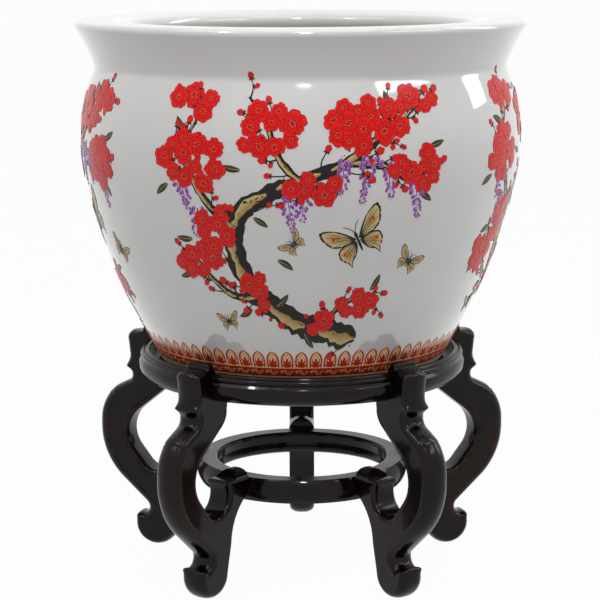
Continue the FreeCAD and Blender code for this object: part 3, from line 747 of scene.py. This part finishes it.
def scatter(centre_u, centre_v, reach_u, reach_v, count, draw):
    """Places for flowers in a patch, which may overlap a little."""
    placed = []
    for _ in range(count * 30):
        angle, far = draw.uniform(0, math.tau), math.sqrt(draw.random())
        radius = draw.uniform(8.5, 15.0)
        u, v = centre_u + reach_u * far * math.cos(angle), centre_v + reach_v * far * math.sin(angle)
        if all(math.hypot(u - a, v - b) > 0.62 * (radius + r) for a, b, r in placed):
            placed.append((u, v, radius))
        if len(placed) == count:
            break
    return placed


def shoots(paints, place, path, thick, draw):
    """Short dark shoots to both sides of a bough, each ending in a bud."""
    for i in range(3, len(path) - 1, 4):
        along = math.atan2(path[i + 1][1] - path[i - 1][1], path[i + 1][0] - path[i - 1][0])
        side = draw.choice((-1, 1))
        turn = along + side * draw.uniform(0.6, 1.3)
        length = thick * 0.5 + draw.uniform(10, 24)
        bend = turn - side * draw.uniform(0.2, 0.7)
        elbow = toward(path[i], turn, length / 2)
        points = [path[i], elbow, toward(elbow, bend, length / 2)]
        twig(paints, place, points, 2.0, draw)
        bud(paints, place, points[-1], draw.uniform(3.2, 5.0), bend, draw)
        if draw.random() < 0.5:
            near = toward(elbow, turn + side, 3.5)
            bud(paints, place, near, draw.uniform(2.6, 3.8), turn + side, draw)


def moss(paints, place, path, thick, draw):
    """Small ink dots along a bough's edges."""
    for u, v in path[::2]:
        for _ in range(2):
            angle, far = draw.uniform(0, math.tau), thick * draw.uniform(0.42, 0.66)
            spot = toward((u, v), angle, far)
            size = draw.uniform(0.6, 1.7)
            dab(paints.ink, place, spot, oval(spot, size, size * 0.8, angle, 6), 0.15, (0.2, 0.2))


def paint_panel(paints, place, seed):
    draw = random.Random(seed)
    for u, v, length, heading in LEAVES:
        leaf(paints, place, (u, v), length, math.radians(heading + draw.uniform(-12, 12)), draw)
    for points, thick, thin in BOUGHS + [(TRUNK, 30.0, 6.0)]:
        path = bough(paints, place, points, thick, thin, draw)
        shoots(paints, place, path, (thick + thin) / 2, draw)
        moss(paints, place, path, (thick + thin) / 2, draw)
    for u, v, length, sway in RACEMES:
        raceme(paints, place, (u, v), length, sway, draw)
    number = 0
    for patch in CLUSTERS:
        for u, v, radius in scatter(*patch, draw):
            blossom(paints, place, (u, v), radius, 0.30 + 0.13 * (number % 3), draw)
            number += 1
    for u, v, span, heading in BUTTERFLIES:
        butterfly(paints, place, (u, v), span, math.radians(heading), draw)


def make_painting():
    paints = SimpleNamespace(**{colour: Shape() for colour in PAINTS})
    for k, centre in enumerate((-90, 0, 90, 180)):
        paint_panel(paints, panel(math.radians(centre)), seed=40 + k)
    for colour, (name, *stops) in PAINTS.items():
        enamelled(getattr(paints, colour), name, *stops)


# ---- border

LAPPETS = 72
SCROLLS = 66
BAND_LOW = 254.8
BAND_HIGH = 265.4
LAPPET_TOP = 286.5


def hoop(shape, low, high, lift, segments=240):
    """A closed band right round the bowl between two heights."""
    rows = []
    for z, rise in ((low, SUNK), (low, lift), (high, lift), (high, SUNK)):
        rows.append([shape.add(on_bowl(math.tau * k / segments, z, rise)) for k in range(segments)])
    for first, second in zip(rows, rows[1:] + rows[:1]):
        shape.bridge(first, second)


def arch_path(half_width, low, top):
    """An upright pointed arch from its left foot over the point to its right foot."""
    sides = ((0.93, 0.0), (0.98, 0.2), (1.0, 0.42), (0.93, 0.60), (0.72, 0.77), (0.42, 0.89), (0.16, 0.96))
    left = [(-half_width * across, low + (top - low) * rise) for across, rise in sides]
    return left + [(0.0, top)] + [(-u, v) for u, v in reversed(left)]


def lappet(red, cream, place):
    """One lappet: a cream arch with a red line inside it, and in that a palmette, curls and dots."""
    low, top = BAND_HIGH + 0.5, LAPPET_TOP
    ground = arch_path(7.25, low, top)
    dab(cream, place, (0.0, low + 8.0), ground, 0.09, rings=2)
    line = arch_path(6.05, low, top - 1.2)
    half = [0.75, 0.8, 0.9, 1.0, 1.05, 0.9, 0.65, 0.4, 0.65, 0.9, 1.05, 1.0, 0.9, 0.8, 0.75]
    stroke(red, place, line, half, half, 0.13)
    for u, v, length, width, heading in ((0, low + 5.4, 6.2, 1.7, 90), (-2.0, low + 4.6, 4.6, 1.3, 116),
                                         (2.0, low + 4.6, 4.6, 1.3, 64), (-2.9, low + 2.2, 3.0, 1.2, 146),
                                         (2.9, low + 2.2, 3.0, 1.2, 34), (0, low + 1.3, 1.7, 3.6, 90)):
        dab(red, place, (u, v), oval((u, v), length, width, math.radians(heading), 9), 0.13 + 0.005 * abs(u))
    for u, v, size in ((0, top - 5.2, 0.95), (-1.9, top - 7.6, 0.7), (1.9, top - 7.6, 0.7),
                       (0, top - 9.6, 0.75)):
        dab(red, place, (u, v), oval((u, v), size, size, 0, 7), 0.14)
    for side in (-1, 1):
        curl = [(side * (3.0 + 1.0 * math.cos(a)), low + 9.6 + 1.3 * math.sin(a))
                for a in [math.radians(-80 + 50 * k) for k in range(5)]]
        stroke(red, place, curl, [0.4] * 5, [0.4] * 5, 0.14)


def make_border():
    red, cream = Shape(), Shape()
    hoop(red, BAND_LOW, BAND_HIGH, 0.12)
    hoop(cream, BAND_HIGH - 0.4, BAND_HIGH + 0.7, 0.16)
    hoop(cream, BAND_LOW - 1.6, BAND_LOW + 0.2, 0.16)
    lower_r = bowl_side(BAND_HIGH + 8)[0]
    front = -math.pi / 2
    for k in range(LAPPETS):
        lappet(red, cream, panel(math.tau * (k / LAPPETS) + front, lower_r))
        between = panel(math.tau * ((k + 0.5) / LAPPETS) + front, lower_r)
        for v, size in ((BAND_HIGH + 2.2, 1.35), (BAND_HIGH + 5.0, 0.7)):
            dab(cream, between, (0, v), oval((0, v), size, size * 0.9, 0, 8), 0.13)
    base_r = bowl_side(BAND_LOW + 5)[0]
    middle = (BAND_LOW + BAND_HIGH) / 2
    for k in range(SCROLLS):
        place = panel(math.tau * (k / SCROLLS) + front, base_r)
        coil = [toward((-4.6, middle), t, 2.4 - 0.32 * t) for t in [0.7 * j for j in range(9)]]
        stroke(cream, place, coil, [0.4] * 9, [0.4] * 9, 0.2)
        bar = [(-0.9, middle + 3.2), (-0.4, middle), (0.6, middle - 3.2)]
        thin_stroke(cream, place, bar, 0.9, 0.2, 2, 0.7)
        hook = [(3.3 + 1.7 * math.cos(t), middle - 0.6 + 2.0 * math.sin(t))
                for t in [math.radians(150 + 38 * j) for j in range(8)]]
        stroke(cream, place, hook, [0.38] * 8, [0.38] * 8, 0.2)
        dab(cream, place, (6.7, middle + 0.9), oval((6.7, middle + 0.9), 0.8, 0.6, 0.5, 7), 0.2)
    enamelled(red, "border_red", (0.0, (156, 30, 14)), (0.5, (194, 50, 28)), (1.0, (210, 72, 42)))
    enamelled(cream, "border_cream", (0.0, (214, 178, 126)), (0.5, (238, 210, 164)), (1.0, (246, 226, 190)))


# ---- legs

def leg_profile():
    """The sawn outline of a leg, with how far its edges are rounded over at each place.

    Depth is how far the rounding comes in from the outline, and width how far over the thickness."""
    low_ring_middle = 111.5
    face_r = 120.8
    return [
        convex(159.0, 225.0, 1.0, 0.8, 0.8),
        convex(182.0, 212.0, 24.0, 4.0, 4.5, 1),
        concave(178.5, 139.0, 35.0, 4.5, 5.0, 1),
        concave(177.0, 114.0, 21.0, 4.5, 5.0, 1),
        convex(156.3, 126.0, 2.5, 1.2, 2.0),
        concave(150.0, 138.5, 10.0, 1.6, 2.0),
        convex(face_r + 12.5, 132.0, 5.0, 2.0, 2.0),
        convex(face_r + 6.0, 131.0, 6.0, 2.0, 2.0),
        convex(face_r + 0.8, 110.0, 0.8, 0.5, 0.5),
        concave(face_r - 27.5, low_ring_middle - 56.5, 61.0, 1.2, 1.2),
        convex(182.0, 26.0, 26.0, 8.0, 13.0),
        convex(202.3, 33.6, 4.5, 3.8, 12.0),
        concave(199.0, 46.2, 8.0, 9.0, 13.0, 1),
        convex(167.0, 142.0, 85.0, 11.0, 15.0, 1),
        convex(197.0, 150.0, 55.0, 11.0, 15.0, 1),
        convex(224.9, 177.9, 16.0, 10.0, 15.0),
        concave(218.5, 208.0, 8.0, 9.0, 15.0),
        convex(212.0, 219.5, 4.0, 6.5, 14.5),
        concave(227.0, 232.0, 14.0, 9.0, 15.0),
        convex(206.0, 253.0, 9.0, 9.0, 15.0),
        concave(195.0, 263.4, 1.0, 3.0, 7.0),
        convex(190.0, 265.0, 3.0, 2.2, 4.0),
        convex(187.0, 264.0, 4.0, 2.2, 4.0),
        convex(177.4, 250.5, 1.5, 0.8, 1.5),
        convex(176.7, 224.8, 0.8, 0.5, 0.5),
    ]


def refine(samples, centre, reach, step):
    """Adds samples near a place, where the carving needs them."""
    result = []
    for first, second in zip(samples, samples[1:] + samples[:1]):
        result.append(first)
        span = math.hypot(second.x - first.x, second.z - first.z)
        near = math.hypot((first.x + second.x) / 2 - centre[0], (first.z + second.z) / 2 - centre[1])
        pieces = math.ceil(span / step) if near < reach else 1
        for k in range(1, pieces):
            mixed = [a + (b - a) * k / pieces for a, b in zip(first, second)]
            size = math.hypot(mixed[2], mixed[3])
            mixed[2:4] = mixed[2] / size, mixed[3] / size
            result.append(Sample(*mixed))
    return result


def distances(samples):
    """How far along the outline each sample lies."""
    path = [0.0]
    for first, second in zip(samples, samples[1:]):
        path.append(path[-1] + math.hypot(second.x - first.x, second.z - first.z))
    return path


def even_out(values, samples, reach):
    """Averages a value along the outline over a distance to each side."""
    path = distances(samples)
    whole = path[-1] + math.hypot(samples[0].x - samples[-1].x, samples[0].z - samples[-1].z)
    count = len(values)
    result = []
    for i in range(count):
        total = weight = 0.0
        for step in (-1, 1):
            j = i if step == 1 else i - 1
            while True:
                apart = abs(path[j % count] - path[i])
                apart = min(apart, whole - apart)
                if apart > reach:
                    break
                share = 1 + math.cos(math.pi * apart / reach)
                total += values[j % count] * share
                weight += share
                j += step
        result.append(total / weight)
    return result


def held_back(depth, samples):
    """Keeps the rounding within each convex bend's own radius, so that its inner edge can't cross itself."""
    path = distances(samples)
    limits = []
    for first, second, at in zip(samples, samples[1:], path):
        span = math.hypot(second.x - first.x, second.z - first.z)
        bend = math.asin(max(-1.0, min(1.0, first.nx * second.nz - first.nz * second.nx)))
        if bend > 0.01:
            limits.append((at + span / 2, 0.85 * span / bend))
    return [min([deep] + [limit + 0.8 * abs(place - at) for at, limit in limits])
            for deep, place in zip(depth, path)]


def carved(sample):
    """Depth of the cut over the knee: a fine step at the knee's cuff, running out above it."""
    along = (sample.z - CUFF[1]) * 0.69 - (sample.x - CUFF[0]) * 0.72
    if sample.x < CUFF[0] - 20 or along < -0.4 or along > CUT_REACH:
        return 0.0
    return 1.2 * (1 + along / 0.4 if along < 0 else (1 - along / CUT_REACH) ** 1.5)


def leg_shape(angle_degrees):
    samples = refine(sample_outline(leg_profile(), step=3.0), CUFF, 6.0, 0.4)
    depth = held_back(even_out([s.depth for s in samples], samples, 5.0), samples)
    width = even_out([s.width for s in samples], samples, 5.0)
    bead = even_out([s.bead for s in samples], samples, 6.0)
    arc = 7
    shape = Shape()
    turn = math.radians(angle_degrees)
    cos, sin = math.cos(turn), math.sin(turn)

    def place(x, y, z):
        if x < PRONG_R and z > ARCH_BASE:
            y *= math.sqrt(max(0.0, 1 - ((z - ARCH_BASE) / LEG_HALF) ** 2) + 0.004)
        return x * cos - y * sin, x * sin + y * cos, z

    # The rows run from the middle of the edge out to the sawn face: rounding, then a quirk beside it.
    rows = []
    for k in range(arc):
        phi = math.pi / 2 * k / (arc - 1)
        cut = max(0.0, math.cos(phi)) ** 0.5
        rows.append([(depth[i] * (1 - math.cos(phi)) + cut * carved(s),
                      LEG_HALF - width[i] * (1 - math.sin(phi)))
                     for i, s in enumerate(samples)])
    for across, down in ((0.5, 0.55), (1.2, 0.6), (1.7, 0.0)):
        rows.append([(depth[i] + 0.15 * across + across * bead[i], LEG_HALF - down * bead[i])
                     for i in range(len(samples))])
    sides = {}
    for side in (1, -1):
        sides[side] = [[(s.x - s.nx * off[0], side * off[1], s.z - s.nz * off[0])
                        for s, off in zip(samples, row)] for row in rows]
    strips = list(reversed(sides[-1])) + sides[1]
    return shape, strips, place


def make_leg(number, material):
    shape, strips, place = leg_shape(BACK + LEG_PITCH * (number - 1))
    loops = [[shape.add(p) for p in strip] for strip in strips]
    for first, second in zip(loops, loops[1:]):
        shape.bridge(first, second)
    mesh = bpy.data.meshes.new("leg")
    mesh.from_pydata(shape.points, [], shape.faces)
    add_sawn_faces(mesh, loops, place)
    mesh.attributes.new("tone", "FLOAT", "POINT")
    finish_mesh(mesh, "carved_leg_%d" % number, material, STAND, ["leg_%d" % number])


def add_sawn_faces(mesh, loops, place):
    """Closes the leg's two flat faces, cuts the prong into level slices and lays it round its arch."""
    made = bmesh.new()
    made.from_mesh(mesh)
    made.verts.ensure_lookup_table()
    for loop in (loops[0][::-1], loops[-1]):
        face = made.faces.new([made.verts[i] for i in loop])
        face.normal_update()
        bmesh.ops.triangulate(made, faces=[face])
    for k in range(12):
        level = ARCH_BASE + LEG_HALF * math.sin(math.pi / 2 * k / 12)
        near = [f for f in made.faces if all(v.co.x < PRONG_R + 8 for v in f.verts)]
        geometry = near + list({e for f in near for e in f.edges}) + list({v for f in near for v in f.verts})
        bmesh.ops.bisect_plane(made, geom=geometry, plane_co=(0, 0, level), plane_no=(0, 0, 1))
    for vertex in made.verts:
        vertex.co = [c * MM for c in place(*vertex.co)]
    bmesh.ops.recalc_face_normals(made, faces=made.faces)
    made.to_mesh(mesh)
    made.free()


# ---- rings and dowels

def finish_rings(lacquered, turned_wood):
    for name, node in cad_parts.items():
        if "ring" not in name:
            continue
        node.data.materials.clear()
        node.data.materials.append(turned_wood if "dowel" in name else lacquered)
        node.data.polygons.foreach_set("use_smooth", [True] * len(node.data.polygons))
        node.data.set_sharp_from_angle(angle=math.radians(24))


# ---- stage, in metres

LAMP_AIM = (0.0, 0.0, 0.42)


def make_floor():
    mesh = bpy.data.meshes.new("floor")
    reach, count = 30.0, 64
    rim = [(*toward((0, 0), math.tau * k / count, reach), 0.0) for k in range(count)]
    mesh.from_pydata(rim, [], [list(range(count))])
    floor = bpy.data.objects.new("floor", mesh)
    bpy.context.scene.collection.objects.link(floor)
    finish = Finish("pale_floor", roughness=0.9, coat=0.0, specular=0.0)
    finish.colour(finish.ramp(finish.noise(0.4), (0.3, (184, 184, 184)), (0.7, (192, 192, 192))))
    white = finish.node("Emission")
    blend = finish.node("MixShader")
    finish.link(finish.math("MULTIPLY", finish.seen(), 0.97), blend.inputs[0])
    finish.link(finish.shader.outputs[0], blend.inputs[1])
    finish.link(white.outputs[0], blend.inputs[2])
    finish.link(blend.outputs[0], finish.tree.nodes["Material Output"].inputs["Surface"])
    mesh.materials.append(finish.material)


def area_light(name, place, size, power):
    """A lamp that is aimed at the bowl."""
    data = bpy.data.lights.new(name, "AREA")
    data.shape = "RECTANGLE"
    data.size, data.size_y = size
    data.energy = power
    light = bpy.data.objects.new(name, data)
    bpy.context.scene.collection.objects.link(light)
    light.location = place
    way = [a - p for a, p in zip(LAMP_AIM, place)]
    yaw = math.atan2(way[1], way[0]) - math.pi / 2
    pitch = math.atan2(way[2], math.hypot(way[0], way[1])) + math.pi / 2
    light.rotation_euler = (pitch, 0.0, yaw)


def make_world():
    """A room that is bright overhead and behind, which the camera and reflections see as white."""
    world = bpy.data.worlds.new("studio")
    bpy.context.scene.world = world
    world.use_nodes = True
    room = Nodes(world.node_tree)
    ground = room.tree.nodes["Background"]
    ground.inputs["Color"].default_value = (1.0, 1.0, 1.0, 1.0)
    split = room.node("SeparateXYZ")
    room.link(room.node("TexCoord").outputs["Generated"], split.inputs[0])

    def fade(source, low, high, least, most):
        made = room.node("MapRange", interpolation_type="SMOOTHSTEP")
        for key, value in (("From Min", low), ("From Max", high), ("To Min", least), ("To Max", most)):
            made.inputs[key].default_value = value
        room.link(source, made.inputs["Value"])
        return made.outputs["Result"]

    total = room.math("ADD", fade(split.outputs[1], -0.3, 0.7, 0.04, 0.66),
                      fade(split.outputs[2], 0.1, 0.9, 0.0, 0.2))
    pick = room.node("Mix", B=1.0)
    room.link(room.seen(), pick.inputs["Factor"])
    room.link(total, pick.inputs["A"])
    room.link(pick.outputs["Result"], ground.inputs["Strength"])


def on_dome(turn, rise, reach=2.2):
    """A place on a dome round the bowl: degrees to the right of the front, and degrees up."""
    turn, rise = math.radians(turn), math.radians(rise)
    return (reach * math.cos(rise) * math.sin(turn), -reach * math.cos(rise) * math.cos(turn),
            0.45 + reach * math.sin(rise))


def make_lights():
    area_light("strip_right", on_dome(59, 33), (1.15, 0.3), 6.0)
    area_light("tall_right", on_dome(104, 30), (0.5, 1.5), 11.0)
    area_light("softbox_left", on_dome(-52, 48), (1.3, 0.8), 5.8)
    area_light("front_fill", on_dome(8, 62, 2.6), (2.0, 1.0), 11.0)
    area_light("spark_front", on_dome(2, 38), (0.2, 0.1), 9.0)
    area_light("spark_left", on_dome(-42, 44), (0.14, 0.14), 6.0)
    area_light("overhead", (0.0, 0.3, 2.6), (1.6, 1.4), 4.5)


def make_camera():
    data = bpy.data.cameras.new("camera")
    data.lens = 119.6
    data.sensor_width = 36.0
    camera = bpy.data.objects.new("camera", data)
    bpy.context.scene.collection.objects.link(camera)
    camera.location = (0.0, -2.2654, 0.7321)
    pitch_down, roll = math.radians(10.61), math.radians(0.2)
    camera.rotation_euler = (math.pi / 2 - pitch_down, roll, 0.0)
    bpy.context.scene.camera = camera


# ---- the whole

def main():
    lacquered = lacquer()
    make_bowl(porcelain())
    make_painting()
    make_border()
    for number in range(1, LEG_COUNT + 1):
        make_leg(number, lacquered)
    finish_rings(lacquered, dowel_wood())
    make_floor()
    make_world()
    make_lights()
    make_camera()
    bpy.context.scene.view_settings.view_transform = "Standard"


main()
